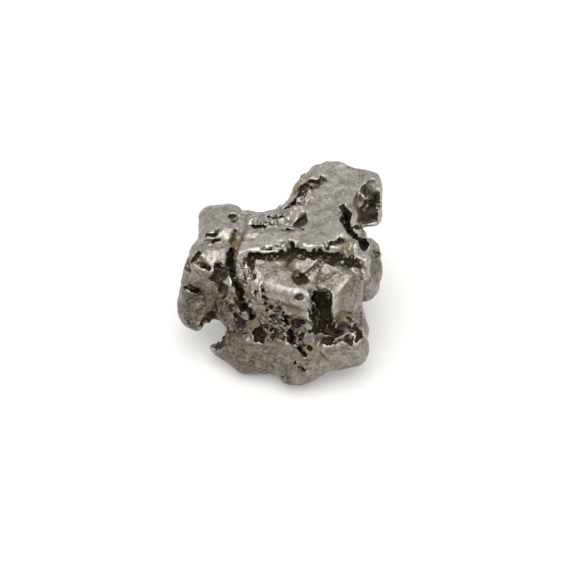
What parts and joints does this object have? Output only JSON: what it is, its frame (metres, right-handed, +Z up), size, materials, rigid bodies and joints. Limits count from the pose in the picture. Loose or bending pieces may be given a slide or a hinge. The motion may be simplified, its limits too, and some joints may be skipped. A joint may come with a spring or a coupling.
{
  "type": "native platinum nugget",
  "caption": "Small natural nugget of native platinum: a lumpy grey metal grain, worn smooth outside, pitted and cracked in its hollows, resting on a worn flat.",
  "frame": {"origin": "on the ground, in the worn flat that the nugget rests on", "axes": "+Z up from the worn flat it rests on, +X to the right along its longest way, +Y to the back, away from its display side"},
  "size_m": [0.0068, 0.0064, 0.005],
  "materials": {
    "platinum": "native platinum, river-worn to a satin grey on the high faces, rough and stained brown in the pits and cracks"
  },
  "bodies": {
    "root": {"nugget": "platinum"}
  },
  "joints": []
}
